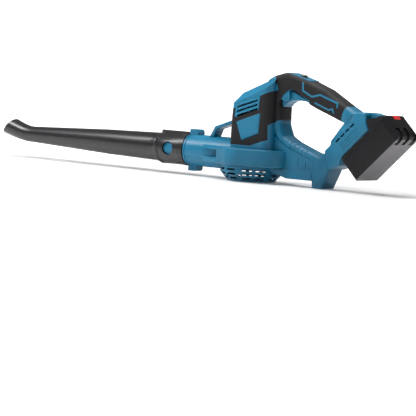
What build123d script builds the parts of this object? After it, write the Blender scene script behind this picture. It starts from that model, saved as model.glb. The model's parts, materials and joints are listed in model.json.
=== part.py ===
from build123d import *
from math import atan2, cos, degrees, hypot, pi, radians, sin
import os

# A cordless leaf blower. Millimetres, +Z up. The nozzle points to -X and the handle is at +X.
# The origin is the centre of the intake basket's flat bottom, on the fan's upright axis.

os.makedirs("parts", exist_ok=True)

# Air path
tube_z = 48.0            # height of the nozzle's and duct's axis
duct_r = 30.5
wall = 3.0
rubber_t = 2.0
flange_x = -146.0
flange_t = 3.2
spigot_end_x = -221.0
spigot_r = 27.6
fan_r = 53.0
volute_r = 63.0
lobe_r = 58.0
lobe_x = 34.0
volute_low = 30.1
volute_top = 62.2
basket_low_r = 45.0
basket_r = 59.5
basket_cone_h = 16.5

# Nozzle
collar_r = 31.1
collar_bore_r = 27.9
collar_back_x = -149.6
collar_front_x = -221.5
nozzle_r = 27.0
nozzle_end_r = 16.35
nozzle_x = -254.0
nozzle_end_x = -566.0
nozzle_wall = 2.2
button_x = -184.8
button_r = 12.2
button_hole_r = 13.0

# Motor
motor_r = 21.5
shaft_r = 2.5
running_gap = 0.05
pivot_x = 84.0
pivot_z = 160.5
pin_r = 2.0

# Handle and foot, half widths about the middle plane
tower_half = 38.0
grip_half = 21.0
strut_half = 17.5
foot_half = 22.0
mount_half = 30.0
grip_ease = 8.0          # rounding along the handle's outline
loop_ease = 6.0          # rounding round the finger loop
foot_ease = 4.0

# Battery frame: s runs up the slide, t points away from the pack, into the foot
slide_deg = 44.4
pack_x = 226.5
pack_z = 57.0
pack_len = 122.0
pack_half = 36.0
pack_h = 49.0
pack_top = 4.5
pack_gap = 0.8
channel_t = 14.6

slide_x = cos(radians(slide_deg))
slide_z = sin(radians(slide_deg))
pack_plane = Plane(origin=(pack_x, 0, pack_z), x_dir=(slide_x, 0, slide_z), z_dir=(-slide_z, 0, slide_x))


def at_pack(s, t):
    """X and Z of a point given in the battery's own directions."""
    return (pack_x + s * slide_x - t * slide_z, pack_z + s * slide_z + t * slide_x)


def block(low, high):
    """A box between two corners."""
    size = [high[i] - low[i] for i in range(3)]
    middle = [(high[i] + low[i]) / 2 for i in range(3)]
    return Pos(*middle) * Box(*size)


def rod(x, y, z, radius, length, direction):
    """A cylinder that starts at a point and runs along a direction."""
    plane = Plane(origin=(x, y, z), z_dir=direction)
    return plane * Cylinder(radius, length, align=(Align.CENTER, Align.CENTER, Align.MIN))


def ring(x, y, z, outer, inner, length, direction):
    """A plain tube that starts at a point and runs along a direction."""
    return rod(x, y, z, outer, length, direction) - rod(x, y, z, inner, length, direction)


def side_face(points, corner=0.0):
    """A face in the middle plane from X, Z points, its corners rounded. corner may be a list."""
    line = FilletPolyline(*points, radius=corner, close=True)
    return make_face(Plane.XZ * line)


def slab(points, half, corner=0.0, inset=0.0):
    """A side outline given a width, both ways from the middle plane."""
    face = side_face(points, corner)
    if inset > 0:
        face = offset(face, amount=-inset, kind=Kind.INTERSECTION)
    return extrude(face, amount=half - inset, both=True)


def round_sides(solid, radius):
    """Rounds the outline edges on a slab's two side faces, with the largest radius that works."""
    for tried in (radius, radius * 0.7, radius * 0.45, radius * 0.25):
        edges = solid.edges().group_by(Axis.Y)
        try:
            rounded = fillet(edges[0] + edges[-1], tried)
            if rounded.is_valid:
                return rounded
        except Exception:
            continue
    return solid


def eased(face, half_width, ease, grow=False):
    """A side outline given a width, its edges rounded off: inwards on a body, outwards on an opening."""
    solid = extrude(face, amount=half_width - ease, both=True)
    for side in (-1, 1):
        top = Pos(0, side * (half_width - ease), 0) * face
        for share, slope in ((0.5, 15), (0.366, 45), (0.134, 75)):
            layer = extrude(top, amount=ease * share, dir=(0, side, 0), taper=-slope if grow else slope)
            solid = solid + layer
            top = layer.faces().sort_by(Axis.Y)[-1 if side > 0 else 0]
    return solid


def half(solid, side):
    """The part of a solid on one side of the middle plane: -1 is left, +1 is right."""
    if side < 0:
        box = block((-700, -200, -50), (450, 0, 300))
    else:
        box = block((-700, 0, -50), (450, 200, 300))
    return solid & box


def save(solid, node):
    """Writes one node."""
    shape = Compound(children=list(solid)) if isinstance(solid, (list, ShapeList)) else solid
    export_step(shape, f"parts/{node}.step")
    print(node, len(shape.solids()))


def zigzag(points, width):
    """A ribbon of even width along X, Z points, right through the handle's sides."""
    ribbon = rod(points[0][0], -60, points[0][1], width / 2, 120, (0, 1, 0))
    for (x0, z0), (x1, z1) in zip(points, points[1:]):
        length = hypot(x1 - x0, z1 - z0)
        turn = -degrees(atan2(z1 - z0, x1 - x0))
        run = Pos((x0 + x1) / 2, 0, (z0 + z1) / 2) * Rot(0, turn, 0) * Box(length, 120, width)
        ribbon = ribbon + run + rod(x1, -60, z1, width / 2, 120, (0, 1, 0))
    return ribbon


def seams(lines, half_width, width, depth):
    """Fine grooves along X, Z lines in both side faces."""
    cuts = [zigzag(line, width) for line in lines]
    middle = block((-400, depth - half_width, -10), (400, half_width - depth, 300))
    return [cut - middle for cut in cuts]


# Side outlines, as X, Z points

loop_hole = [
    (73, 112), (73, 143), (69, 152), (78, 166.5), (90, 175.5), (98, 175.5), (128, 161), (136, 152),
    (153, 145), (209, 125.5), (219, 122), (207, 104), (196, 90), (195, 82), (178, 66), (168, 57.5),
    (149, 64), (126, 72), (101, 81), (82, 91),
]
loop_corner = [14, 2, 3, 5, 4, 4, 5, 6, 10, 4, 3, 6, 4, 4, 6, 4, 20, 30, 12, 10]

grip_top = [(80, 209), (100, 204.6), (132, 195), (168, 182), (218, 154), (238, 144)]
rim_low = [(150, 49), (122.6, 57.5), (91, 68), (68, 82), (56, 100)]

spine_outline = (
    [(38, 100), (38, 193), (52.5, 201.6)] + grip_top + [(240, 120), (222, 92), (196, 50)] + rim_low
)
spine_corner = [0, 0, 6, 12, 20, 30, 40, 60, 3, 3, 3, 3, 3, 10, 20, 8, 4]

foot_outline = [(155.4, 0), (175.5, 0), (192.5, 36.5), (200, 60), (196, 72), (150, 66)]
foot_corner = [2, 2, 2, 1, 1, 1]

rail_outline = [(52, 30), (64, 20), (80, 17), (97, 12.6), (153, 13), (153, 33), (133.5, 33.8), (80, 27)]
strut_outline = [(30, 78), (30, 28), (70, 20), (153, 18), (153, 60), (122, 64), (92, 76), (64, 88)]

mount_floor = pack_top + pack_gap
mount_outline = [
    (188, 40), (192, 36.5), (219, 46.5), at_pack(0, mount_floor), at_pack(76, mount_floor),
    at_pack(81, 19.6), at_pack(84.5, 24.2), (269, 145), (248, 145.5), (238, 143), (207, 104), (196, 90),
    (195, 82), (184, 71),
]
mount_corner = [1, 1, 2, 1, 1, 2, 1, 6, 8, 3, 6, 4, 4, 3]
tongue_half = 15.0
tongue_outline = [
    at_pack(60, channel_t + 0.2), at_pack(101, channel_t + 0.2), at_pack(103, channel_t + 3), (276, 144.2),
    (259, 146), at_pack(60, 34),
]

tower_top_deg = 23.4
tower_front = -34.0
tower_back = 62.0
tower_low = 58.0


def duct(inset):
    """The round duct from the flange to the tower."""
    return rod(flange_x, 0, tube_z, duct_r - inset, 150, (1, 0, 0))


def volute(inset):
    """The fan's casing: a disc, a smaller one behind it, and flat flanks that run forward to the duct."""
    low = volute_low + inset
    height = volute_top - volute_low - 2 * inset
    plan = Circle(volute_r - inset) + Pos(lobe_x, 0) * Circle(lobe_r - inset)
    bridge = Polyline((0, inset - volute_r), (lobe_x + 5, inset - lobe_r + 0.2), (lobe_x + 5, lobe_r - 0.2 - inset),
                      (0, volute_r - inset), close=True)
    disc = Pos(0, 0, low) * extrude(plan + make_face(bridge), amount=height)
    edge = 2.6 if inset == 0 else 0.0
    if edge > 0:
        rims = disc.edges().group_by(Axis.Z)
        disc = fillet(rims[0] + rims[-1], edge)
    near = duct_r - 1.5 - inset
    reach = volute_r - inset
    flank = Polyline((-97, near), (-30, reach * 0.88), (0, reach * 0.6), (0, -reach * 0.6),
                     (-30, -reach * 0.88), (-97, -near), close=True)
    flank = Pos(0, 0, low) * extrude(make_face(flank), amount=height)
    if edge > 0:
        flank = fillet(flank.edges().filter_by(Plane.XY), edge * 0.8)
    return disc + flank


def tower(inset):
    """The motor's housing: a rounded column under a sloping roof with bevelled sides."""
    plan = RectangleRounded(tower_back - tower_front - 2 * inset, 2 * (tower_half - inset), 17 - inset)
    column = Pos((tower_back + tower_front) / 2, 0, tower_low + inset) * extrude(plan, amount=170)
    roof_plane = Plane(
        origin=(-39, 0, 157.5), x_dir=(0, 1, 0),
        z_dir=(cos(radians(tower_top_deg)), 0, sin(radians(tower_top_deg))),
    )
    top = -inset
    ridge = 13 - inset
    eave = 50 - inset
    section = Polyline((-eave, -140), (eave, -140), (eave, top - 27), (ridge + 8, top - 5), (ridge, top),
                       (-ridge, top), (-ridge - 8, top - 5), (-eave, top - 27), close=True)
    roof = extrude(roof_plane * make_face(section), amount=190, both=True)
    front = [(-80, 20), (-33 + inset, 62), (-31.7 + inset, 70), (-28.4 + inset, 113), (-24.5 + inset, 150),
             (-21 + inset, 158 - inset), (-10, 240), (120, 240), (120, 20)]
    return column & roof & slab(front, 90)


def spine(inset):
    """The grip, the loop's front column and its lower rim, in one outline."""
    face = side_face(spine_outline, spine_corner)
    if inset > 0:
        face = offset(face, amount=-inset, kind=Kind.INTERSECTION)
    return eased(face, grip_half - inset, grip_ease - inset)


def loop_face(inset):
    """The finger loop's opening, grown where it clears an inner surface."""
    face = side_face(loop_hole, loop_corner)
    if inset > 0:
        face = offset(face, amount=inset, kind=Kind.ARC)
    return face


def loop_cut(inset):
    """The finger loop's opening, straight through."""
    return extrude(loop_face(inset), amount=60, both=True)


def handle(inset):
    """The spine with its finger loop, rounded all round."""
    return spine(inset) - eased(loop_face(inset), grip_half - inset, loop_ease - inset, True)


def shell_body():
    """Everything that the two half shells enclose."""
    body = tower(0) + duct(0) + volute(0) + handle(0)
    body = body + slab(strut_outline, strut_half, 2.0) + slab(rail_outline, grip_half, 2.0)
    foot = round_sides(slab(foot_outline, foot_half, foot_corner), 2.0)
    mount = round_sides(slab(mount_outline, mount_half, mount_corner), 3.0)
    foot = foot - eased(loop_face(0), foot_half, foot_ease, True)
    mount = mount - eased(loop_face(0), mount_half, foot_ease, True)
    return body + foot + mount - loop_cut(0)


print("outer body")
outer = shell_body()

# Front strap: a loop over the duct, hollow below
strap_half = 12.5
strap = slab([(-97, 76), (-85, 97.5), (-24.6, 119), (-24.6, 112.6), (-80.5, 92.3), (-87, 76)], strap_half,
             [1, 7, 1, 1, 6, 1])
strap = round_sides(strap, 1.8)

# Flange, thin lip and the two clamping bosses at the duct's front
flange = ring(flange_x, 0, tube_z, 31.7, spigot_r, flange_t, (1, 0, 0))
boss_half = 10.0
boss_top = [(-150, 74), (-150, 88.3), (-129, 88.3), (-126, 84.5), (-126, 74)]
boss_low = [(-150, 22), (-150, 8), (-129, 8), (-126, 11), (-126, 22)]
boss_front_trim = block((-160, -40, 0), (flange_x, 40, 100))
bosses = slab(boss_top, boss_half, 2.0) + slab(boss_low, boss_half, 2.0) - boss_front_trim

body = outer + strap + flange + bosses

# Air space inside the duct and the fan's chamber
air = rod(flange_x - 5, 0, tube_z, duct_r - wall, 63, (1, 0, 0)) + rod(-143, 0, tube_z, 28.6, 12, (1, 0, 0))
chamber = rod(0, 0, volute_low + 2.5, volute_r - 3.0, volute_top - volute_low - 5, (0, 0, 1))
inlet_hole = rod(0, 0, 10, 50, 30, (0, 0, 1))
duct_mouth = rod(-80, 0, tube_z, 13, 40, (1, 0, 0))
throat = loft([
    Plane(origin=(-90, 0, tube_z), z_dir=(1, 0, 0)) * Circle(duct_r - wall - 1.5),
    Plane(origin=(-45, 0, tube_z - 1.8), z_dir=(1, 0, 0)) * Circle(13.2),
])

tower_cavity = tower(wall + rubber_t) & block((-80, -60, 66.5), (120, 60, 260))
spine_cavity = spine(wall + rubber_t) - loop_cut(wall + rubber_t)
foot_cavity = slab(foot_outline, foot_half, 0, wall)
mount_cavity = slab(mount_outline, mount_half, 0, wall) - slab(
    [at_pack(-20, -2), at_pack(130, -2), at_pack(130, channel_t + 3), at_pack(-20, channel_t + 3)], 60)
strut_cavity = slab(strut_outline, strut_half, 0, wall) & block((76, -60, 0), (170, 60, 120))
cavity = tower_cavity + spine_cavity + foot_cavity + mount_cavity + strut_cavity
cavity = cavity - loop_cut(wall)
wall_round_fan = rod(0, 0, 0, volute_r + 2, 66.5, (0, 0, 1))
lobe_space = rod(lobe_x, 0, volute_low + wall, lobe_r - wall, volute_top - volute_low - 2 * wall, (0, 0, 1))
motor_space = rod(0, 0, 66.5, motor_r + 0.6, 67, (0, 0, 1))
cavity = (cavity + lobe_space) - wall_round_fan
cavity = cavity + motor_space

# Channel in the foot for the battery's rails, open at its upper end
rail_half = 20.0
head_half = 24.0
channel = slab([at_pack(3, 0), at_pack(150, 0), at_pack(150, 9.9), at_pack(3, 9.9)], rail_half + 0.5)
channel = channel + slab([at_pack(3, 9.9), at_pack(150, 9.9), at_pack(150, channel_t), at_pack(3, channel_t)],
                         head_half + 0.5)
tongue = slab(tongue_outline, tongue_half, 1.0)

# Screw posts: X, Z and the outer Y of the right wall at each
screw_posts = [
    (-136, 82.4, 10.0), (-136, 13.6, 10.0), (52, 160, 37.0), (50, 78, 37.0),
    (150, 168, 20.5), (196, 149, 20.5), (112, 24, 20.5), (168, 12, 21.5), (174, 48, 21.5), (250, 128, 29.0),
]
screw_r = 1.9
screw_head_r = 3.6
screw_head_h = 2.6
sink = 2.0
post_r = 5.0


def post(x, z, reach):
    """A solid column through the shells for one screw."""
    return rod(x, -reach + 1.5, z, post_r, 2 * reach - 3, (0, 1, 0))


def screw_space(x, z, reach):
    """The screw's clearance, pilot and head recess."""
    shank = rod(x, -8.0, z, screw_r + 0.12, reach + 8.0, (0, 1, 0))
    head = rod(x, reach - sink - screw_head_h, z, screw_head_r + 0.3, 30, (0, 1, 0))
    return shank + head


def screw(x, z, reach):
    """A pan-head screw with a cross slot."""
    head_base = reach - sink - screw_head_h
    shank = rod(x, -7.5, z, screw_r, head_base + 7.5, (0, 1, 0))
    head = rod(x, head_base, z, screw_head_r, screw_head_h, (0, 1, 0))
    slot = block((x - 2.2, head_base + 1.4, z - 0.45), (x + 2.2, head_base + 3, z + 0.45))
    slot = slot + block((x - 0.45, head_base + 1.4, z - 2.2), (x + 0.45, head_base + 3, z + 2.2))
    return shank + head - slot


print("hollowing")
body = body - cavity
posts = [post(*p) for p in screw_posts]
for column in posts:
    body = body + (column & outer) if column.center().X > -100 else body
body = body + (tongue & block((200, -tongue_half, 80), (320, tongue_half, 200)))
body = body - air - chamber - throat - duct_mouth - inlet_hole - channel
for p in screw_posts:
    body = body - screw_space(*p)

# Side pockets in the duct's flanks, deeper towards the rear
for side in (-1, 1):
    corners = [(-96, 30 * side), (-66, 24.5 * side), (-51, 38.5 * side), (-51, 70 * side), (-96, 70 * side)]
    pocket = make_face(Plane.XY * Polyline(*corners, close=True))
    body = body - Pos(0, 0, 40) * extrude(pocket, amount=15)

# Basket seat below the casing
seat = rod(0, 0, -1, basket_r + 0.25, volute_low + 1, (0, 0, 1))
body = body - seat

# Trigger slot, thumb plate pocket and lock button's well
trigger_half = 13.5
slot_gap = 0.6
trigger_slot = slab([(73, 140), (66, 152), (74, 172), (82, 181), (134, 181), (139, 150), (120, 146)],
                    trigger_half + slot_gap)
trigger_slot = trigger_slot & (loop_cut(0) + block((70, -20, 150), (137, 20, 182)))
body = body - trigger_slot
plate_deg = -15.5
plate_plane = Plane(origin=(108.5, 0, 201.4), x_dir=(cos(radians(plate_deg)), 0, sin(radians(plate_deg))),
                    z_dir=(-sin(radians(plate_deg)), 0, cos(radians(plate_deg))))
plate_len = 48.5
plate_half = 15.2
plate_reach = plate_len / 2 + 0.1
plate_side = plate_half + 0.1
plate_space = plate_plane * block((-plate_reach, -plate_side, -3.1), (plate_reach, plate_side, 12))
lock_r = 6.8
lock_travel = 2.0
well = plate_plane * rod(0, 0, -12, lock_r + 2.5, 12, (0, 0, 1))
body = body - plate_space - well

# Pilot holes for the motor plate's and basket's screws
motor_screw_spots = [(26.0 * cos(radians(a)), 26.0 * sin(radians(a))) for a in (90, 210, 330)]
lug_r = 53.2
lug_spots = [(lug_r * cos(radians(a)), lug_r * sin(radians(a))) for a in (78, 108.25, -78, -108.25)]
for x, y in motor_screw_spots:
    body = body - rod(x, y, 62, 1.6, 6, (0, 0, 1))
for x, y in lug_spots:
    body = body - rod(x, y, 28, 1.7, 4.2, (0, 0, 1))

# The shaft's way into the fan chamber
shaft_hole = rod(0, 0, 55, 9.0, 15, (0, 0, 1))
body = body - shaft_hole

# Vents through the foot's flanks
vent_count = 4
for side in (-1, 1):
    for i in range(vent_count):
        along = i / (vent_count - 1)
        x = 212.5 + along * 29.0
        z = 92.5 + along * 28.4
        dash = Pos(x, side * mount_half, z) * Rot(0, -slide_deg, 0) * Box(10.0, 9.0, 3.4)
        body = body - dash

# Seams and ribs: across the loop's rim, on the strut, on the foot and round the battery seat's panel
strut_lines = [[(119, 51), (119, 37)], [(136, 46), (136, 36)]]
foot_lines = [[(158.5, 12), (156.5, 44), (162, 50)], [(187, 64), (192.5, 37)]]
seat_panel = [(14, 14), (58, 14), (58, 25), (14, 25), (14, 14)]
seat_lines = [[at_pack(s, t) for s, t in seat_panel], [at_pack(18, 19.5), at_pack(54, 19.5)]]
rib_depth = 0.9
rim_skin = handle(0) - handle(rib_depth)
for i in range(5):
    rib = Pos(101 + 9.0 * i, 0, 73.0 - 3.1 * i) * Rot(0, 19, 0) * Box(1.1, 60, 22)
    body = body - (rib & rim_skin)
for cut in seams(strut_lines, strut_half, 1.2, 1.0):
    body = body - cut
for cut in seams(foot_lines, foot_half, 0.9, 0.8):
    body = body - cut
for cut in seams(seat_lines, mount_half, 1.1, 0.8):
    body = body - cut

# Rubber skin over the tower's sides and the grip
frame_region = [
    (-60, 66), (-19, 68), (20, 68), (57, 81), (56, 108), (66, 117), (92, 127), (92, 150), (80, 160), (92, 178),
    (136, 160), (150, 139), (209, 120), (213, 141.4), (222, 160), (180, 200), (130, 222), (44, 222),
    (58, 199), (66, 175), (44, 165), (-60, 119),
]
tower_core = tower(rubber_t)
skin = (tower(0) + handle(0)) - (tower_core + handle(rubber_t))
skin = skin & slab(frame_region, 60)

# Blue islands that show through the rubber: two zig-zag lines on each side of the grip

upper_line = [(121, 191), (122, 177), (143, 167), (161, 171.5), (200, 158.5), (200.5, 151)]
lower_line = [(151, 156), (182, 145), (190, 147.5), (193, 141)]
middle_band = block((0, -9, 0), (300, 9, 300))

badge_points = [(-15, 111), (41, 131), (39, 92), (0, 76)]
vent_points = [(-20, 117.5), (-18, 144), (-12, 148), (38, 164), (36, 136.5)]


def panel(points, corner, thick, side):
    """A plate on the tower's flank."""
    plate = slab(points, 60, corner)
    depth = tower_half - rubber_t + 0.05
    if side < 0:
        return plate & block((-60, -depth - thick, 0), (90, -depth, 300))
    return plate & block((-60, depth, 0), (90, depth + thick, 300))


badge_t = 3.2
vent_t = 2.4
badge_space = slab(badge_points, 60, 2.0)
vent_space = slab(vent_points, 60, 2.0)
ear = slab([(79.5, 154.5), (91, 158.5), (89, 180), (66, 170), (72, 160)], 18.6, [4, 4, 0, 0, 0])
ears = ear - block((60, -14.2, 140), (100, 14.2, 190)) - rod(pivot_x, -17.1, pivot_z, pin_r + running_gap, 34.2, (0, 1, 0))
ears = ears & (loop_cut(0) + handle(0))
islands = zigzag(upper_line, 3.4) + zigzag(lower_line, 3.0)
islands = islands - middle_band
island_solids = skin & islands
skin = skin - islands - badge_space - vent_space - plate_space - trigger_slot - ears
for p in screw_posts:
    skin = skin - screw_space(*p)

body = body - skin - ((tower(0) - tower_core) & (badge_space + vent_space))
body = body + island_solids + ears

# Slots behind the vent panels, through the shell
vent_slots = []
for i in range(3):
    z_front = 121.5 + 8.2 * i
    slot_points = [(-14, z_front - 1.6), (33, z_front + 14.4), (33, z_front + 18.2), (-14, z_front + 2.2)]
    vent_slots.append(slab(slot_points, 60, 0.8))
for cut in vent_slots:
    body = body - (cut - block((-60, -25, 0), (90, 25, 300)))
print("splitting", body.is_valid, len(body.solids()))

for side, name in ((-1, "left"), (1, "right")):
    shell = half(body, side)
    pieces = sorted(shell.solids(), key=lambda s: s.volume, reverse=True)
    for extra in pieces[1:]:
        print("   loose", name, round(extra.volume, 2), extra.center())
    save(pieces[0], f"housing_{name}")
    cover = sorted(half(skin, side).solids(), key=lambda s: s.volume, reverse=True)
    save(cover[0], f"grip_rubber_{name}")


# Panels set in the rubber's windows, and the blue plate on top of the handle

for side, name in ((-1, "left"), (1, "right")):
    badge = panel([(-14.6, 110.9), (40.6, 130.6), (38.6, 92.2), (0.2, 76.5)], 2.0, badge_t, side)
    outer_face = badge.faces().sort_by(Axis.Y)[0 if side < 0 else -1]
    badge = chamfer(outer_face.edges(), 1.1)
    save(badge, f"side_plate_{name}")
    louvre = panel([(-19.6, 118.1), (-17.7, 143.7), (-12, 147.5), (37.5, 163.3), (35.6, 136.9)], 2.0, vent_t, side)
    outer_face = louvre.faces().sort_by(Axis.Y)[0 if side < 0 else -1]
    louvre = chamfer(outer_face.edges(), 0.7)
    for cut in vent_slots:
        louvre = louvre - cut
    save(louvre, f"vent_panel_{name}")

thumb_plate = plate_plane * (block((-plate_len / 2, -plate_half, -3.0), (plate_len / 2, plate_half, 0.9)))
thumb_plate = thumb_plate - plate_plane * rod(0, 0, -5, lock_r + 0.35, 20, (0, 0, 1))
save(thumb_plate, "thumb_plate")

lock_head = rod(0, 0, -2.6, lock_r, 7.4, (0, 0, 1))
lock_head = fillet(lock_head.edges().filter_by(GeomType.CIRCLE).sort_by(Axis.Z)[-1], 3.4)
lock_button = plate_plane * (lock_head + rod(0, 0, -9.0, 2.2, 7, (0, 0, 1)))
save(lock_button, "lock_button")


def coil(radius, length, turns, wire):
    """A round-wire compression spring that stands on the XY plane, its ends cut flat."""
    pitch = length / turns
    path = Helix(pitch, length, radius)
    start = Plane(origin=path @ 0, z_dir=path % 0)
    turn = sweep(start * Circle(wire / 2), path)
    return turn & Cylinder(radius + wire, length, align=(Align.CENTER, Align.CENTER, Align.MIN))


save(plate_plane * Pos(0, 0, -11.4) * coil(3.6, 8.6, 5, 0.6), "lock_spring")

# Switch, trigger and its pin

switch_body = plate_plane * block((-15, -8, -21), (15, 8, -11.5))
switch_body = switch_body + plate_plane * block((-19, -5, -18), (-15, 5, -14))
save(switch_body, "switch_body")

trigger_outline = [(75, 143.5), (70.6, 151.4), (79, 164.8), (90.5, 173.2), (97, 173.2), (125, 161), (130, 155.5),
                   (124, 157.6), (104, 158.5), (90, 156.5), (80, 150)]
trigger = slab(trigger_outline, trigger_half, [1.2, 1.2, 3, 3, 3, 2, 0.8, 8, 25, 12, 6])
trigger = round_sides(trigger, 2.0)
trigger = trigger - rod(pivot_x, -20, pivot_z, pin_r + running_gap, 40, (0, 1, 0))
trigger = trigger - block((100, -10, 161.5), (122, 10, 170))
save(trigger, "trigger")
save(rod(pivot_x, -17, pivot_z, pin_r, 34, (0, 1, 0)), "trigger_pin")
save(Pos(111, 0, 161.6) * coil(3.2, 15.5, 7, 0.6), "trigger_spring")

# Outlet spigot with the nozzle's release button in its side

spigot = rod(spigot_end_x, 0, tube_z, 27.5, 91, (1, 0, 0)) + rod(-142.8, 0, tube_z, 28.4, 11.5, (1, 0, 0))
spigot = spigot - rod(spigot_end_x - 1, 0, tube_z, 25.2, 93, (1, 0, 0))
guide = rod(button_x, -26.6, tube_z, button_r + 2.2, 14.0, (0, 1, 0))
guide = guide & rod(spigot_end_x, 0, tube_z, 27.5, 91, (1, 0, 0))
spigot = spigot + guide - rod(button_x, -40, tube_z, button_r + 0.35, 25.6, (0, 1, 0))
save(spigot, "outlet_spigot")
cap = rod(button_x, -30, tube_z, button_r, 10.6, (0, 1, 0)) & rod(-210, 0, tube_z, 27.4, 60, (1, 0, 0))
cap = cap - rod(button_x, -24.6, tube_z, button_r - 1.8, 10, (0, 1, 0))
save(cap, "nozzle_release_button")
save(Plane(origin=(button_x, -24.5, tube_z), z_dir=(0, 1, 0)) * coil(7.5, 10.0, 4, 1.0), "nozzle_button_spring")

# Nozzle: a socket collar, a long taper and a short upturned lip

profile = [
    (collar_back_x, collar_r), (-216, collar_r), (-221.6, 27.9), (nozzle_x, nozzle_r), (-360, 24.65),
    (nozzle_end_x, nozzle_end_r), (nozzle_end_x, nozzle_end_r - nozzle_wall), (-360, 24.65 - nozzle_wall),
    (nozzle_x, nozzle_r - nozzle_wall), (-223.5, 25.4), (-223.5, collar_bore_r), (collar_back_x, collar_bore_r),
]
section = make_face(Plane.XZ * Polyline(*profile, close=True))
taper = Pos(0, 0, tube_z) * revolve(section, Axis.X, 360)
ridge = block((-222.5, -2.4, tube_z + 29.6), (collar_back_x, 2.4, tube_z + 34.2))
ridge = ridge - rod(-230, 0, tube_z, collar_bore_r + 1, 90, (1, 0, 0))
lip_stations = [(-566, 48.0, 0, 16.35), (-584, 48.9, 7, 16.6), (-604, 52.6, 13.5, 17.4), (-665, 69.0, 15.5, 19.4)]


def lip(shrink):
    """The nozzle's upturned end, as a loft through round sections along its bent axis."""
    rings = []
    for x, z, tilt, radius in lip_stations:
        direction = (-cos(radians(tilt)), 0, sin(radians(tilt)))
        rings.append(Plane(origin=(x, 0, z), z_dir=direction, x_dir=(0, 1, 0)) * Circle(radius - shrink))
    return loft(rings)


lip_shell = lip(0) - lip(nozzle_wall)
mouth_deg = 50
cut_plane = Plane(origin=(-634, 0, 61), x_dir=(0, 1, 0), z_dir=(-sin(radians(mouth_deg)), 0, cos(radians(mouth_deg))))
lip_shell = lip_shell - cut_plane * Pos(0, 0, 40) * Box(120, 120, 80)
nozzle = taper + ridge + lip_shell
nozzle = nozzle - rod(button_x, -45, tube_z, button_hole_r, 40, (0, 1, 0))
save(nozzle, "nozzle")

# Intake basket with three rows of slots, and the inlet ring above it

basket_wall = 3.0
basket_line = [
    (0, 0), (basket_low_r, 0), (basket_r, basket_cone_h), (basket_r, volute_low), (basket_r - basket_wall, volute_low),
    (basket_r - basket_wall, basket_cone_h + 1.2), (basket_low_r - 1.9, basket_wall), (0, basket_wall),
]
basket = revolve(make_face(Plane.XZ * Polyline(*basket_line, close=True)), Axis.Z, 360)
slot_rows = (22.0, 14.0, 6.0)
slot_h = 3.8
slot_half_deg = 10.0
slot_centres = [0, 36, 62.5, 95, 121.5, 148, 180, -148, -121.5, -95, -62.5, -36]


def fan_slot(centre_deg, z, near, far, half_deg, height):
    """A wedge-shaped cut through a round wall."""
    corners = []
    for radius, turn in ((near, -half_deg), (far, -half_deg), (far, half_deg), (near, half_deg)):
        angle = radians(centre_deg + turn)
        corners.append((radius * cos(angle), radius * sin(angle)))
    return Pos(0, 0, z - height / 2) * extrude(make_face(Polyline(*corners, close=True)), amount=height)


cuts = [fan_slot(c, z, 34, 75, slot_half_deg, slot_h) for c in slot_centres for z in slot_rows]
cuts += [fan_slot(i * 30 + 15, 0, 16, 38, 5.0, 10) for i in range(12)]
basket = basket - cuts
for x, y in lug_spots:
    lug = rod(x, y, 18, 4.2, volute_low - 18, (0, 0, 1))
    basket = basket + lug - rod(x, y, 10, 1.75, 30, (0, 0, 1)) - rod(x, y, 8, 3.5, 10, (0, 0, 1))
save(basket, "intake_basket")
inlet_ring = ring(0, 0, volute_low + 0.1, 45.5, 30, 2.2, (0, 0, 1))
inlet_ring = inlet_ring + ring(0, 0, 26.0, 33, 30, 4.3, (0, 0, 1))
save(inlet_ring, "inlet_ring")
basket_screws = []
for x, y in lug_spots:
    basket_screws.append(rod(x, y, 15.6, 3.2, 2.4, (0, 0, 1)) + rod(x, y, 18, 1.6, 14.0, (0, 0, 1)))
save(basket_screws, "basket_screws")

# Rotor: fan, shaft, armature, commutator

blade_count = 11
hub = rod(0, 0, 37, 9, 19, (0, 0, 1)) + rod(0, 0, 54, fan_r, 1.8, (0, 0, 1))
blade = Pos(6, 0, 0) * Rot(0, 0, -28) * block((0, -0.8, 37), (44, 0.8, 54.6))
fan = hub
for i in range(blade_count):
    fan = fan + Rot(0, 0, 360 / blade_count * i) * blade
fan = fan - rod(0, 0, 30, shaft_r + 0.01, 40, (0, 0, 1))
save(fan, "fan")
save(rod(0, 0, 33.8, shaft_r, 100.4, (0, 0, 1)), "motor_shaft")
nut = Pos(0, 0, 34) * extrude(RegularPolygon(4.6, 6), amount=2.9) - rod(0, 0, 30, shaft_r + 0.01, 10, (0, 0, 1))
save(nut, "fan_nut")
armature = rod(0, 0, 76, 14.2, 34, (0, 0, 1))
pole_count = 12
for i in range(pole_count):
    armature = armature - Rot(0, 0, 360 / pole_count * i) * block((10.5, -1.1, 70), (15, 1.1, 120))
armature = armature - rod(0, 0, 70, shaft_r + 0.01, 60, (0, 0, 1))
save(armature, "armature")
commutator = ring(0, 0, 113, 8, shaft_r + 0.01, 11, (0, 0, 1))
for i in range(pole_count):
    commutator = commutator - Rot(0, 0, 360 / pole_count * i) * block((6.8, -0.3, 112), (9, 0.3, 125))
save(commutator, "commutator")

# Motor: plate, can, magnets, end cap, bearings, brushes

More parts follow.
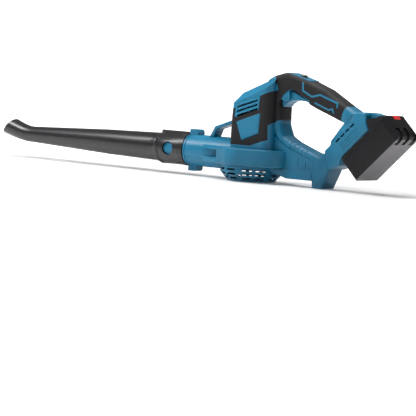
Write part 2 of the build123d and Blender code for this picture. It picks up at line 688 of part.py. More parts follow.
motor_plate = rod(0, 0, 66.5, 29, 2.4, (0, 0, 1)) - rod(0, 0, 60, 6.3, 20, (0, 0, 1))
motor_plate = motor_plate & block((-25.8, -40, 60), (40, 40, 80))
motor_screws = []
for x, y in motor_screw_spots:
    motor_plate = motor_plate - rod(x, y, 60, 1.75, 20, (0, 0, 1))
    motor_screws.append(rod(x, y, 62.5, 1.5, 6.4, (0, 0, 1)) + rod(x, y, 68.9, 3.0, 2.0, (0, 0, 1)))
save(motor_plate, "motor_plate")
save(motor_screws, "motor_screws")
can = rod(0, 0, 68.9, motor_r, 59.1, (0, 0, 1)) - rod(0, 0, 71.2, motor_r - 1.8, 60, (0, 0, 1))
can = can - rod(0, 0, 60, 6.3, 30, (0, 0, 1))
for a in (45, 135, 225, 315):
    can = can - Rot(0, 0, a) * block((17, -3, 119), (25, 3, 126))
save(can, "motor_can")
magnet_ring = ring(0, 0, 74, motor_r - 1.9, 15.2, 38, (0, 0, 1))
magnets = magnet_ring - block((-30, -6, 60), (30, 6, 130))
save(magnets.solids(), "motor_magnets")
end_cap = rod(0, 0, 128, motor_r, 4.5, (0, 0, 1)) - rod(0, 0, 120, 6.3, 20, (0, 0, 1))
brushes = []
for side in (-1, 1):
    holder = block((9.6 * side, -3.6, 114.5), (17.5 * side, 3.6, 128)) if side > 0 else block(
        (-17.5, -3.6, 114.5), (-9.6, 3.6, 128))
    space = block((8, -2.3, 116), (17, 2.3, 122)) if side > 0 else block((-17, -2.3, 116), (-8, 2.3, 122))
    end_cap = end_cap + holder - space
    brushes.append(block((8.3, -2.1, 116.2), (15, 2.1, 121.8)) if side > 0 else block(
        (-15, -2.1, 116.2), (-8.3, 2.1, 121.8)))
save(end_cap, "motor_end_cap")
save(brushes, "carbon_brushes")
save(ring(0, 0, 66.6, 6.2, shaft_r + running_gap, 4.5, (0, 0, 1)), "lower_bearing")
save(ring(0, 0, 128, 6.2, shaft_r + running_gap, 4.5, (0, 0, 1)), "upper_bearing")

# Electrics in the foot and the leads

terminal_block = pack_plane * block((3.0, -18, 5.6), (17, 18, 14.2))
save(terminal_block, "terminal_block")
blade_rows = (-12, 0, 12)
blades = [pack_plane * block((17, y - 0.4, 8), (30, y + 0.4, 12.6)) for y in blade_rows]
save(blades, "terminal_blades")
board = pack_plane * block((8, -20, 24), (57, 20, 25.6))
for s, y, size in ((16, -10, 8), (16, 8, 8), (36, 0, 12), (50, -10, 6)):
    board = board + pack_plane * block((s - size / 2, y - size / 2, 25.6), (s + size / 2, y + size / 2, 25.6 + size * 0.6))
save(board, "control_board")


def lead(points, bend, y, radius=1.1):
    """An insulated wire along X, Z points at one Y, its corners rounded."""
    path = Pos(0, y, 0) * (Plane.XZ * FilletPolyline(*points, radius=bend))
    start = Plane(origin=path @ 0, z_dir=path % 0)
    return sweep(start * Circle(radius), path)


leads = []
for y in (-10.5, 10.5):
    route = [at_pack(44, 26), (229, 128), (214, 147), (196, 157.5), (150, 179), (136, 184.5), (96, 190), (44, 176),
             (24, 152), (14, 137)]
    leads.append(lead(route, 6, y))
save(leads, "power_leads")

print("screws")
save([screw(*p) for p in screw_posts], "housing_screws")

# Battery pack, in its own directions

plan_line = FilletPolyline((0, -pack_half), (pack_len, -pack_half), (pack_len, pack_half), (0, pack_half),
                           radius=[5, 13, 13, 5], close=True)
plan = make_face(Plane.XY * plan_line)
case_wall = 2.5
rear_ease = 14.0
case_line = FilletPolyline((0, -pack_h), (pack_len, -pack_h), (pack_len, 0), (0, 0),
                           radius=[1.5, rear_ease, 0, 0], close=True)
case_side = make_face(Plane.XZ * case_line)
lower_case = Pos(0, 0, -pack_h) * extrude(plan, amount=pack_h - 1)
lower_case = lower_case & eased(case_side, pack_half, 2.0)
space_line = [(case_wall, 9), (case_wall, -46.5), (98, -46.5), (114, -30), (114, 9)]
lower_case = lower_case - extrude(make_face(Plane.XZ * Polyline(*space_line, close=True)),
                                  amount=pack_half - case_wall, both=True)
groove_line = FilletPolyline((90, -pack_h + 2.6), (pack_len - 2.6, -pack_h + 2.6), (pack_len - 2.6, -27), (90, -27),
                             radius=[0, rear_ease - 2.6, 0, 0], close=True)
groove_limit = block((110, -60, -70), (140, 60, -27)) + block((100, -60, -70), (140, 60, -40))
groove_core = make_face(Plane.XZ * groove_line)
for y in (-23, 0, 23):
    groove = (groove_limit & block((0, y - 5.5, -80), (200, y + 5.5, 0))) - extrude(groove_core, amount=60, both=True)
    lower_case = lower_case - groove
release_space = block((110.5, -10.4, -7.6), (130, 10.4, 1.8))
latch_wall = block((108, -12.5, -9.6), (pack_len - 2, 12.5, -1)) - release_space
pack_screw_spots = [(104, 28), (104, -28)]
for s, y in pack_screw_spots:
    lower_case = lower_case + rod(s, y, -pack_h + 1, 4.6, pack_h - 2.2, (0, 0, 1))
lower_case = (lower_case + latch_wall) - release_space
for s, y in pack_screw_spots:
    lower_case = lower_case - rod(s, y, -60, 1.6, 62, (0, 0, 1)) - rod(s, y, -60, 3.0, 15.6, (0, 0, 1))
save(pack_plane * lower_case, "battery_lower_case")

rim = Pos(0, 0, -1) * extrude(plan, amount=5.5)
rim = chamfer(rim.edges().group_by(Axis.Z)[-1], 3.0)
neck = block((20, -19.6, 4), (78, 19.6, 10.3))
head = block((20, -23.9, 10.3), (78, 23.9, 14.2))
cheek_line = [(77.2, 4), (82.2, 18.8), (86, 22.8), (117.5, 5.2), (117.5, 4)]
upper_case = rim + neck + head
for side in (-1, 1):
    cheek_face = make_face(Plane.XZ * FilletPolyline(*cheek_line, radius=[0, 1.5, 1.5, 0, 0], close=True))
    cheek = Pos(0, side * 23.1, 0) * extrude(cheek_face, amount=6.9, both=True)
    upper_case = upper_case + cheek
upper_case = upper_case - block((19, -30, -2), (76, 30, 2)) - release_space
for y in blade_rows:
    upper_case = upper_case - block((19, y - 1.7, 7.4), (33, y + 1.7, 20))
for s, y in pack_screw_spots:
    upper_case = upper_case - rod(s, y, -3, 1.35, 9, (0, 0, 1))
save(pack_plane * upper_case, "battery_upper_case")

release_button = block((115.6, -10, -7.2), (pack_len + 0.7, 10, 1.4))
release_button = fillet(release_button.edges().group_by(Axis.X)[-1], 1.0)
save(pack_plane * release_button, "battery_release_button")
spring_plane = Plane(origin=(111.9 - 1.3, 0, -3), z_dir=(1, 0, 0))
save(pack_plane * (spring_plane * coil(2.2, 4.9, 4, 0.5)), "release_spring")
cell_r = 9.1
cell_len = 65.0
cells = []
strips = []
for row in range(2):
    for column in range(5):
        s = 12.2 + 18.9 * column
        t = -13.6 - 19.4 * row
        cells.append(pack_plane * rod(s, -cell_len / 2, t, cell_r, cell_len, (0, 1, 0)))
    for side in (-1, 1):
        y = side * (cell_len / 2 + 0.05)
        low = min(y, y + side * 0.3)
        strips.append(pack_plane * block((8, low, -17.6 - 19.4 * row), (92, low + 0.3, -9.6 - 19.4 * row)))
save(cells, "battery_cells")
save(strips, "cell_strips")
save(pack_plane * block((4, -26, -3.8), (99, 26, -2.2)), "battery_board")
contacts = []
for y in blade_rows:
    for side in (-1, 1):
        low = y + side * 1.35 - 0.15
        contacts.append(pack_plane * block((21, low, 7.4), (31, low + 0.3, 13.0)))
pack_screws = []
for s, y in pack_screw_spots:
    pack_screws.append(pack_plane * (rod(s, y, -46.4, 2.8, 2, (0, 0, 1)) + rod(s, y, -44.4, 1.3, 45.5, (0, 0, 1))))
save(contacts, "battery_contacts")
save(pack_screws, "battery_screws")
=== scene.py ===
import json
import math
import bmesh
import bpy
import numpy as np
from mathutils import Matrix, Vector


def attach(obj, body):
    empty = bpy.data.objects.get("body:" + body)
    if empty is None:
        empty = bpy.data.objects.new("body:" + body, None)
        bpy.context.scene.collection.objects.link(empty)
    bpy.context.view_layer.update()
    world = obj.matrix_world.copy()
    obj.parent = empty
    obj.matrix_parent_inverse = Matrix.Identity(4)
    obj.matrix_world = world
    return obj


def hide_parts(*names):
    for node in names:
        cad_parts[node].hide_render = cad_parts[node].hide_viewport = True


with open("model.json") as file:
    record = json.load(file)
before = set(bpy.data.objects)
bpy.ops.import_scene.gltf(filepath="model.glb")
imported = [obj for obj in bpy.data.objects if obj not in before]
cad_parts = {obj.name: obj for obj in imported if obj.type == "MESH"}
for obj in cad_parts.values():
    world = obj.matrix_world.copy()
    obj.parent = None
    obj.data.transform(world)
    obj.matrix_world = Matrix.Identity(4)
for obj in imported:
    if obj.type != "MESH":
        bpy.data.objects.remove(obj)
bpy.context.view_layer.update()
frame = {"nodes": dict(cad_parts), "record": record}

nodes = frame["nodes"]
mm = 0.001
white = (1.0, 1.0, 1.0, 1.0)
print("frame loaded:", len(nodes), "nodes")


# shader helpers

class Val:
    # Wraps one shader socket, so that sums and products of values add their Math nodes.
    def __init__(self, shade, socket):
        self.shade = shade
        self.socket = socket

    def math(self, operation, other, swapped=False):
        first, second = (other, self) if swapped else (self, other)
        return self.shade.node("Math", {"operation": operation}, {0: first, 1: second})[0]

    def __add__(self, other):
        return self.math("ADD", other)

    __radd__ = __add__

    def __sub__(self, other):
        return self.math("SUBTRACT", other)

    def __rsub__(self, other):
        return self.math("SUBTRACT", other, True)

    def __mul__(self, other):
        return self.math("MULTIPLY", other)

    __rmul__ = __mul__

    def __truediv__(self, other):
        return self.math("DIVIDE", other)

    def __rtruediv__(self, other):
        return self.math("DIVIDE", other, True)

    def __pow__(self, other):
        return self.math("POWER", other)

    def __rpow__(self, other):
        return self.math("POWER", other, True)

    def ramp(self, fromLow, fromHigh, toLow=0.0, toHigh=1.0):
        # a smooth step from one level to another as the value crosses a range
        return self.shade.node("MapRange", {"interpolation_type": "SMOOTHSTEP"}, {
            "Value": self, "From Min": fromLow, "From Max": fromHigh, "To Min": toLow, "To Max": toHigh})[0]


class Outputs:
    # A node's outputs, as values, by name or place.
    def __init__(self, shade, made):
        self.shade = shade
        self.made = made

    def __getitem__(self, key):
        return Val(self.shade, self.made.outputs[key])


class Shade:
    # One material, its nodes, and the object's own coordinates as its place.
    surfaceSockets = {"colour": "Base Color", "rough": "Roughness", "metal": "Metallic", "normal": "Normal",
                      "coat": "Coat Weight", "glow": "Emission Color", "glowPower": "Emission Strength",
                      "shine": "Specular IOR Level"}

    def __init__(self, name):
        self.material = bpy.data.materials.new(name)
        self.material.use_nodes = True
        self.tree = self.material.node_tree
        self.tree.nodes.clear()
        self.place = self.node("TexCoord", {}, {})["Object"]

    def node(self, kind, settings, sockets):
        made = self.tree.nodes.new("ShaderNode" + kind)
        for key, value in settings.items():
            setattr(made, key, value)
        for key, value in sockets.items():
            if isinstance(value, Val):
                self.tree.links.new(value.socket, made.inputs[key])
            else:
                made.inputs[key].default_value = value
        return Outputs(self, made)

    def noise(self, scale, detail=2.0, rough=0.5, place=None):
        return self.node("TexNoise", {}, {"Vector": place or self.place, "Scale": scale, "Detail": detail,
                                          "Roughness": rough})["Fac"]

    def cells(self, scale):
        return self.node("TexVoronoi", {}, {"Vector": self.place, "Scale": scale})["Distance"]

    def blend(self, factor, first, second):
        return self.node("Mix", {"data_type": "RGBA"}, {0: factor, 6: first, 7: second})[2]

    def axes(self):
        split = self.node("SeparateXYZ", {}, {0: self.place})
        return split[0], split[1], split[2]

    def bump(self, height, strength, depth, under=None):
        # depth is in millimetres
        sockets = {"Height": height, "Strength": strength, "Distance": depth * mm}
        if under is not None:
            sockets["Normal"] = under
        return self.node("Bump", {}, sockets)["Normal"]

    def edgeWear(self, width, scale, low=0.40, high=0.66):
        # how far a normal averaged over a width leans from the true one, high along edges only, in patches
        soft = self.node("Bevel", {"samples": 4}, {"Radius": width * mm})["Normal"]
        true = self.node("NewGeometry", {}, {})["Normal"]
        lean = self.node("VectorMath", {"operation": "DOT_PRODUCT"}, {0: soft, 1: true})["Value"]
        return (1.0 - lean).ramp(0.03, 0.16) * self.noise(scale, 3, 0.7).ramp(low, high)

    def done(self, **sockets):
        named = {self.surfaceSockets[key]: value for key, value in sockets.items()}
        surface = self.node("BsdfPrincipled", {}, named)["BSDF"]
        self.node("OutputMaterial", {}, {"Surface": surface})
        return self.material


def tone(red, green, blue):
    # a screen colour of 0 to 255, made linear
    parts = [c / 255 for c in (red, green, blue)]
    linear = [c / 12.92 if c <= 0.04045 else ((c + 0.055) / 1.055) ** 2.4 for c in parts]
    return (*linear, 1.0)


# finishes: noise scales are per metre, depths and edge widths in millimetres

blueFinish = {
    "lit": tone(4, 100, 132), "deep": tone(0, 77, 104), "worn": tone(96, 170, 198),
    "grainTone": tone(48, 140, 178), "speckTone": tone(6, 66, 94),
    "rough": 0.37, "shine": 0.34, "cloud": 9, "flow": 42, "speck": 700, "grain": 2600,
    "grainDepth": 0.10, "flowDepth": 0.5, "edge": 0.9, "patches": 160,
}


def blueMaterial():
    # moulded blue plastic: slow drifts of colour, fine grain, small dark specks and lighter edges
    m = Shade("bluePlastic")
    f = blueFinish
    cloud = m.noise(f["cloud"], 3)
    fine = m.noise(f["grain"], 2, 0.6)
    flow = m.noise(f["flow"], 4, 0.62)
    speck = m.noise(f["speck"], 2, 0.5)
    wear = m.edgeWear(f["edge"], f["patches"], 0.42, 0.68)
    colour = m.blend(cloud.ramp(0.35, 0.7), f["lit"], f["deep"])
    colour = m.blend(fine * 0.16, colour, f["grainTone"])
    colour = m.blend(speck.ramp(0.62, 0.8) * 0.22, colour, f["speckTone"])
    colour = m.blend(wear * 0.35, colour, f["worn"])
    rough = f["rough"] + flow * 0.11 - fine * 0.05 + wear * 0.08
    normal = m.bump(fine, 0.22, f["grainDepth"], m.bump(flow, 0.10, f["flowDepth"]))
    return m.done(colour=colour, rough=rough, normal=normal, shine=f["shine"])


rubberFinish = {
    "lit": tone(33, 31, 34), "deep": tone(22, 20, 23), "worn": tone(70, 68, 72),
    "grainTone": tone(58, 56, 60), "pitTone": tone(18, 17, 19),
    "rough": 0.60, "shine": 0.22, "cloud": 14, "pebble": 1150, "grain": 3200,
    "grainDepth": 0.14, "edge": 0.9, "patches": 140,
}


def rubberMaterial():
    # soft moulded rubber: pebbled, matt, and a little polished where it is worn
    m = Shade("blackRubber")
    f = rubberFinish
    cloud = m.noise(f["cloud"], 3)
    pebble = m.cells(f["pebble"])
    fine = m.noise(f["grain"], 2, 0.6)
    wear = m.edgeWear(f["edge"], f["patches"])
    colour = m.blend(cloud.ramp(0.3, 0.75), f["lit"], f["deep"])
    colour = m.blend(fine.ramp(0.5, 0.8) * 0.16, colour, f["grainTone"])
    colour = m.blend(pebble.ramp(0.0, 0.35) * 0.20, f["pitTone"], colour)
    colour = m.blend(wear * 0.4, colour, f["worn"])
    rough = f["rough"] - fine * 0.08 + cloud * 0.09 - wear * 0.1
    normal = m.bump(pebble * 0.6 + fine * 0.4, 0.34, f["grainDepth"])
    return m.done(colour=colour, rough=rough, normal=normal, shine=f["shine"])


nozzleFinish = {
    "lit": tone(27, 26, 29), "deep": tone(18, 17, 20), "worn": tone(76, 74, 78),
    "grainTone": tone(50, 48, 52),
    "rough": 0.24, "flow": 11, "grain": 2300, "grainDepth": 0.08,
    "streak": 6.0, "streakStretch": (1.2, 34, 34), "streakDepth": 0.3, "edge": 0.8, "patches": 150,
}


def nozzleMaterial():
    # smooth black plastic with faint streaks drawn out along the tube
    m = Shade("nozzlePlastic")
    f = nozzleFinish
    fine = m.noise(f["grain"], 2, 0.6)
    flow = m.noise(f["flow"], 4, 0.6)
    stretched = m.node("Mapping", {}, {"Vector": m.place, "Scale": f["streakStretch"]})[0]
    drawn = m.noise(f["streak"], 3.0, 0.5, stretched)
    wear = m.edgeWear(f["edge"], f["patches"])
    colour = m.blend(flow.ramp(0.3, 0.8), f["lit"], f["deep"])
    colour = m.blend(fine.ramp(0.5, 0.8) * 0.18, colour, f["grainTone"])
    colour = m.blend(wear * 0.45, colour, f["worn"])
    rough = f["rough"] + drawn * 0.12 + fine * 0.05
    normal = m.bump(fine, 0.2, f["grainDepth"], m.bump(drawn, 0.05, f["streakDepth"]))
    return m.done(colour=colour, rough=rough, normal=normal)


# the grey tone for the pack's underside is a painted reflection of the pale floor; baseLevel and baseEdge
# give where that underside starts, in millimetres
packFinish = {
    "lit": tone(17, 16, 19), "deep": tone(11, 10, 13), "worn": tone(64, 63, 66),
    "grainTone": tone(34, 33, 37), "base": tone(118, 116, 119), "baseLevel": 48.0, "baseEdge": 0.4,
    "rough": 0.36, "shine": 0.2, "cloud": 20, "spark": 620, "grain": 2100,
    "grainDepth": 0.12, "edge": 0.9, "patches": 150,
}
packPlace = {"x": 226.5, "z": 57.0, "turn": math.radians(44.4)}  # its own origin, in millimetres, and tilt


def packMaterial():
    # satin flanks; the underside, found by its depth in the pack's own direction, carries a painted
    # reflection of the pale floor: grey, with a coarse spark in it
    m = Shade("packPlastic")
    f = packFinish
    x, _, z = m.axes()
    turn = packPlace["turn"]
    height = (z - packPlace["z"] * mm) * math.cos(turn) - (x - packPlace["x"] * mm) * math.sin(turn)
    baseStart, baseEnd = f["baseLevel"] - f["baseEdge"], f["baseLevel"] + f["baseEdge"]
    # under marks the pack's underside, where the painted floor reflection goes
    under = (height * -1.0).ramp(baseStart * mm, baseEnd * mm)
    fine = m.noise(f["grain"], 2, 0.6)
    spark = m.noise(f["spark"], 4, 0.7)
    wear = m.edgeWear(f["edge"], f["patches"])
    colour = m.blend(m.noise(f["cloud"], 3).ramp(0.3, 0.75), f["lit"], f["deep"])
    colour = m.blend(fine.ramp(0.45, 0.8) * 0.22, colour, f["grainTone"])
    # painted reflection: the underside is blended towards grey for the pale floor's light on it, flecked by
    # the spark noise
    colour = m.blend(under * (0.55 + spark * 0.5), colour, f["base"])
    colour = m.blend(wear * 0.45, colour, f["worn"])
    rough = f["rough"] + spark * 0.14 + under * 0.12
    normal = m.bump(spark * 0.5 + fine * 0.5, 0.3, f["grainDepth"])
    return m.done(colour=colour, rough=rough, normal=normal, shine=f["shine"])


smallPartGrain = {"grain": 1400, "cloud": 60, "grainDepth": 0.08, "edge": 0.5, "patches": 240}
smallPartFinishes = {
    "dark_plastic": {"name": "darkPlastic", "colour": tone(40, 40, 43), "rough": 0.42},
    "button_plastic": {"name": "buttonPlastic", "colour": tone(24, 23, 25), "rough": 0.26, "coat": 0.3},
    "electrical_plastic": {"name": "electricalPlastic", "colour": tone(34, 34, 36), "rough": 0.5},
    "fan_plastic": {"name": "fanPlastic", "colour": tone(58, 58, 62), "rough": 0.46},
    "red_plastic": {"name": "redPlastic", "colour": tone(206, 26, 22), "rough": 0.3, "coat": 0.3},
    "spring_steel": {"name": "springSteel", "colour": tone(170, 170, 172), "rough": 0.28, "metal": 1.0},
    "steel": {"name": "zincedSteel", "colour": tone(176, 178, 182), "rough": 0.32, "metal": 1.0},
    "plate_metal": {"name": "sheetMetal", "colour": tone(168, 170, 174), "rough": 0.36, "metal": 1.0},
    "lamination": {"name": "laminations", "colour": tone(92, 92, 96), "rough": 0.48, "metal": 0.9},
    "magnet": {"name": "sinteredMagnet", "colour": tone(54, 53, 56), "rough": 0.55, "metal": 0.3},
    "copper": {"name": "copper", "colour": tone(206, 128, 84), "rough": 0.3, "metal": 1.0},
    "circuit_board": {"name": "circuitBoard", "colour": tone(22, 92, 54), "rough": 0.36, "coat": 0.4},
    "wire_insulation": {"name": "wireInsulation", "colour": tone(170, 30, 26), "rough": 0.42},
    "cell_wrap": {"name": "cellWrap", "colour": tone(36, 110, 140), "rough": 0.34, "coat": 0.3},
}


def brighter(colour, gain, lift):
    return (*(min(1.0, c * gain + lift) for c in colour[:3]), 1.0)


def smallPartMaterial(name, colour, rough, metal=0.0, coat=0.0):
    # a small part's finish: fine grain in the colour, gloss and bump, with lighter worn edges
    m = Shade(name)
    f = smallPartGrain
    fine = m.noise(f["grain"], 3, 0.6)
    cloud = m.noise(f["cloud"], 3)
    wear = m.edgeWear(f["edge"], f["patches"])
    mixed = m.blend(fine.ramp(0.4, 0.8) * 0.35 + cloud * 0.1, colour, brighter(colour, 1.35, 0.01))
    mixed = m.blend(wear * 0.5, mixed, brighter(colour, 1.8, 0.05))
    gloss = rough + fine * 0.12 - cloud * 0.05
    normal = m.bump(fine, 0.22, f["grainDepth"])
    return m.done(colour=mixed, rough=gloss, metal=metal, normal=normal, coat=coat)


materials = {"blue_plastic": blueMaterial(), "black_rubber": rubberMaterial(),
             "nozzle_plastic": nozzleMaterial(), "battery_plastic": packMaterial()}
for slotName, finish in smallPartFinishes.items():
    materials[slotName] = smallPartMaterial(**finish)
slotOf = {part["node"]: part["material_slot"] for part in frame["record"]["subparts"]}
bodyOf = {node: body for body, held in frame["record"]["behaviour"]["bodies"].items() for node in held}
for name, node in nodes.items():
    node.data.materials.clear()
    node.data.materials.append(materials[slotOf[name]])
print("finishes made:", len(materials))


def newObject(name, data):
    made = bpy.data.objects.new(name, data)
    bpy.context.scene.collection.objects.link(made)
    return made


# outer parts: welded copies of the frame's own, each with its rounding's width in millimetres

roundings = {
    "housing_left": 0.9, "housing_right": 0.9, "grip_rubber_left": 0.7, "grip_rubber_right": 0.7,
    "side_plate_left": 0.9, "side_plate_right": 0.9, "vent_panel_left": 0.5, "vent_panel_right": 0.5,
    "thumb_plate": 0.7, "lock_button": 0.5, "trigger": 0.9, "nozzle": 0.5, "nozzle_release_button": 0.5,
    "intake_basket": 0.4, "battery_lower_case": 0.9, "battery_upper_case": 0.7, "battery_release_button": 0.6,
}
edgeRules = {"weld": 0.004, "flatAngle": math.radians(0.6), "sharpAngle": math.radians(36), "segments": 2}


def roundedCopy(name, width):
    # the node's surface with its doubles merged and flat areas made whole, smooth below the sharp angle
    mesh = nodes[name].data.copy()
    mesh.name = name + "Rounded"
    work = bmesh.new()
    work.from_mesh(mesh)
    bmesh.ops.remove_doubles(work, verts=work.verts, dist=edgeRules["weld"] * mm)
    bmesh.ops.dissolve_limit(work, angle_limit=edgeRules["flatAngle"], verts=work.verts, edges=work.edges)
    for face in work.faces:
        face.smooth = True
    for edge in work.edges:
        edge.smooth = len(edge.link_faces) == 2 and edge.calc_face_angle(0.0) < edgeRules["sharpAngle"]
    work.to_mesh(mesh)
    work.free()
    copied = newObject(name + "Rounded", mesh)
    bevel = copied.modifiers.new("edges", "BEVEL")
    bevel.width = width * mm
    bevel.segments = edgeRules["segments"]
    bevel.limit_method = "ANGLE"
    bevel.angle_limit = edgeRules["sharpAngle"]
    bevel.harden_normals = True
    bevel.use_clamp_overlap = True
    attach(copied, bodyOf[name])
    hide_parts(name)


for name, width in roundings.items():
    roundedCopy(name, width)
print("outer parts rounded:", len(roundings))


# beads: thin raised lines, with paths and radii in millimetres

def sweptBead(name, path, radius, body, slotName, closed=False, around=10):
    # a round section carried along a path: point(i, a) = path(i) + r (cos a side(i) + sin a up(i)),
    # with side and up square to the path's direction at i; an open bead narrows to a quarter at its ends
    path = np.asarray(path, dtype=float) * mm
    along = np.roll(path, -1, 0) - np.roll(path, 1, 0) if closed else np.gradient(path, axis=0)
    along /= np.linalg.norm(along, axis=1, keepdims=True)
    runsAcross = np.abs(along[:, 1]).max() >= 0.9
    guide = np.array([1.0, 0.0, 0.0] if runsAcross else [0.0, 1.0, 0.0])
    side = np.cross(along, guide)
    side /= np.linalg.norm(side, axis=1, keepdims=True)
    up = np.cross(side, along)
    count = len(path)
    size = np.full(count, radius * mm)
    if not closed:
        size[0] = size[-1] = 0.25 * radius * mm
    angle = np.linspace(0, 2 * math.pi, around, endpoint=False)
    points = path[:, None] + size[:, None, None] * (
        np.cos(angle)[None, :, None] * side[:, None] + np.sin(angle)[None, :, None] * up[:, None])
    i, j = np.meshgrid(np.arange(count if closed else count - 1), np.arange(around), indexing="ij")
    nextI, nextJ = (i + 1) % count, (j + 1) % around
    faces = np.stack([i * around + j, i * around + nextJ, nextI * around + nextJ, nextI * around + j], -1)
    firstCap = list(range(around))
    lastCap = [(count - 1) * around + k for k in firstCap][::-1]
    mesh = bpy.data.meshes.new(name)
    mesh.from_pydata(points.reshape(-1, 3).tolist(), [],
                     faces.reshape(-1, 4).tolist() + ([] if closed else [firstCap, lastCap]))
    mesh.polygons.foreach_set("use_smooth", np.ones(len(mesh.polygons), dtype=bool))
    mesh.materials.append(materials[slotName])
    bead = newObject(name, mesh)
    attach(bead, body)


collarRings = {"x": (-152.5, -158.0, -209.5, -213.5), "z": 48, "radius": 31.0, "bead": 0.55, "points": 72}


def ringPath(x):
    # a circle square to X, round the nozzle's own axis
    turn = np.linspace(0, 2 * math.pi, collarRings["points"], endpoint=False)
    radius = collarRings["radius"]
    z = collarRings["z"] + radius * np.sin(turn)
    return np.stack([np.full(len(turn), x), radius * np.cos(turn), z], -1)


for number, x in enumerate(collarRings["x"], 1):
    sweptBead(f"collarRing{number}", ringPath(x), collarRings["bead"],
              "nozzle_tube", "nozzle_plastic", closed=True)

packRidge = {"from": 6, "to": 108, "heights": (-0.6, -6.4), "y": 35.9, "bead": 0.55, "points": 24}


def ridgePath(height, y):
    # a straight line along the pack, at a height in the pack's own direction, turned with the pack
    along = np.linspace(packRidge["from"], packRidge["to"], packRidge["points"])
    turn = packPlace["turn"]
    x = packPlace["x"] + along * math.cos(turn) - height * math.sin(turn)
    z = packPlace["z"] + along * math.sin(turn) + height * math.cos(turn)
    return np.stack([x, np.full(len(along), y), z], -1)


for number, height in enumerate(packRidge["heights"], 1):
    for side, tag in ((-1, "Left"), (1, "Right")):
        sweptBead(f"packRidge{tag}{number}", ridgePath(height, side * packRidge["y"]), packRidge["bead"],
                  "battery_pack", "battery_plastic")

loopRibs = {"x": 73.0, "low": 118.0, "step": 4.4, "count": 6, "reach": 12.5, "sink": 0.35, "bead": 0.75,
            "points": 15}


def ribPath(z):
    # a level rib across the loop's front wall, sunk a little deeper at both ends by the cube of its offset
    y = np.linspace(-loopRibs["reach"], loopRibs["reach"], loopRibs["points"])
    x = loopRibs["x"] - loopRibs["sink"] * (np.abs(y) / loopRibs["reach"]) ** 3
    return np.stack([x, y, np.full(len(y), z)], -1)


for number in range(loopRibs["count"]):
    sweptBead(f"loopRib{number + 1}", ribPath(loopRibs["low"] + number * loopRibs["step"]), loopRibs["bead"],
              "housing", "black_rubber")

badgeFrame = {"corners": [(-11.4, 109.7), (37.9, 127.3), (36.2, 93.6), (2.0, 79.4)], "y": 39.05, "bead": 0.5,
              "step": 1.5, "around": 8}


def framePath(y):
    # the badge's closed outline of X, Z corners at one Y, with points evenly spaced along each side
    corners = np.asarray(badgeFrame["corners"], dtype=float)
    sides = []
    for start, end in zip(corners, np.roll(corners, -1, 0)):
        count = max(3, int(np.linalg.norm(end - start) / badgeFrame["step"]))
        share = np.linspace(0, 1, count, endpoint=False)[:, None]
        sides.append(start + (end - start) * share)
    outline = np.concatenate(sides)
    return np.stack([outline[:, 0], np.full(len(outline), y), outline[:, 1]], -1)


for side, tag in ((-1, "Left"), (1, "Right")):
    sweptBead("badgeFrame" + tag, framePath(side * badgeFrame["y"]), badgeFrame["bead"],
              "housing", "blue_plastic", closed=True, around=badgeFrame["around"])
print("beads added")

# camera, floor and light, in metres

camera = {"place": (2.1525, -2.8809, 0.2153), "yaw": 38.009, "pitch": 4.326, "roll": 3.493,
          "lens": 164.42, "sensor": 36.0, "farClip": 60.0}
cameraData = bpy.data.cameras.new("camera")
cameraData.lens = camera["lens"]
cameraData.sensor_width = camera["sensor"]
cameraData.clip_end = camera["farClip"]
yawTurn = Matrix.Rotation(math.radians(camera["yaw"]), 4, "Z")
pitchTurn = Matrix.Rotation(math.radians(90 - camera["pitch"]), 4, "X")
rollTurn = Matrix.Rotation(math.radians(camera["roll"]), 4, "Z")
cameraObject = newObject("camera", cameraData)
cameraObject.matrix_world = Matrix.Translation(camera["place"]) @ yawTurn @ pitchTurn @ rollTurn
bpy.context.scene.camera = cameraObject

floorShape = {"half": 15.0, "drop": 0.0008, "colour": (0.88, 0.88, 0.88, 1.0), "rough": 0.30,
              "glowSpread": (0.75, 0.42), "glowRange": (0.7, 1.9), "glow": (0.10, 1.0)}


def floorMaterial():
    # pale and slightly glossy; a glow that grows away from the object keeps the distance white
    m = Shade("paleFloor")
    x, y, _ = m.axes()
    spreadX, spreadY = floorShape["glowSpread"]
    away = ((x / spreadX) ** 2.0 + (y / spreadY) ** 2.0) ** 0.5
    glow = away.ramp(*floorShape["glowRange"], *floorShape["glow"])
    cast = m.node("CombineXYZ", {}, {0: glow, 1: glow, 2: glow})[0]
    return m.done(colour=floorShape["colour"], rough=floorShape["rough"], glow=cast, glowPower=1.0)


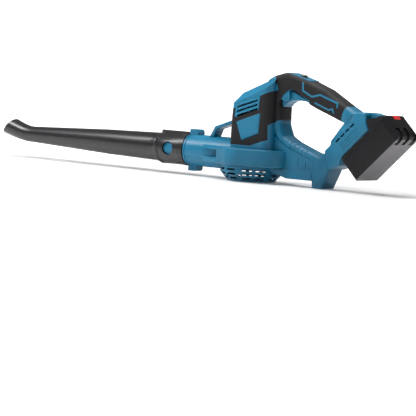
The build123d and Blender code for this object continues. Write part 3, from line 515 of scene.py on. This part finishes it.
def sheetObject(name, corners, material):
    # one flat face
    mesh = bpy.data.meshes.new(name)
    mesh.from_pydata(corners, [], [(0, 1, 2, 3)])
    mesh.materials.append(material)
    return newObject(name, mesh)


half = floorShape["half"]
floorObject = sheetObject("floor", [(-half, -half, 0), (half, -half, 0), (half, half, 0), (-half, half, 0)],
                          floorMaterial())
floorObject.location.z = -floorShape["drop"]

backdrop = {"half": 9, "low": -1, "high": 8, "place": (-3.1, 4.0, 0), "colour": (0.9, 0.9, 0.9, 1.0),
            "glowPower": 1.0}
half, low, high = backdrop["half"], backdrop["low"], backdrop["high"]
backObject = sheetObject("backdrop", [(-half, 0, low), (half, 0, low), (half, 0, high), (-half, 0, high)],
                         Shade("whiteBackdrop").done(colour=backdrop["colour"], glow=white,
                                                     glowPower=backdrop["glowPower"]))
backObject.matrix_world = Matrix.Translation(backdrop["place"]) @ yawTurn
backObject.visible_diffuse = False
backObject.visible_glossy = False

studio = {"strength": 0.20}
world = bpy.data.worlds.new("studio")
world.use_nodes = True
world.node_tree.nodes["Background"].inputs["Color"].default_value = white
world.node_tree.nodes["Background"].inputs["Strength"].default_value = studio["strength"]
bpy.context.scene.world = world
bpy.context.scene.view_settings.view_transform = "Standard"

lamps = {
    "keyLight": {"place": (-1.6, -1.3, 1.9), "aim": (-0.05, 0, 0.08), "size": (0.9, 0.7), "watts": 52},
    "topLight": {"place": (-0.2, 0.0, 2.2), "aim": (-0.1, 0, 0), "size": (2.8, 0.7), "watts": 74},
    "rimLight": {"place": (1.9, -0.3, 0.5), "aim": (0.25, 0, 0.06), "size": (0.5, 0.4), "watts": 2.5},
}


def softLight(name, place, aim, size, watts):
    # a rectangular lamp at a place, turned to an aim
    lightData = bpy.data.lights.new(name, "AREA")
    lightData.shape = "RECTANGLE"
    lightData.size, lightData.size_y = size
    lightData.energy = watts
    toAim = (Vector(aim) - Vector(place)).to_track_quat("-Z", "Y").to_matrix().to_4x4()
    newObject(name, lightData).matrix_world = Matrix.Translation(place) @ toAim


for name, lamp in lamps.items():
    softLight(name, **lamp)
print("stage set")
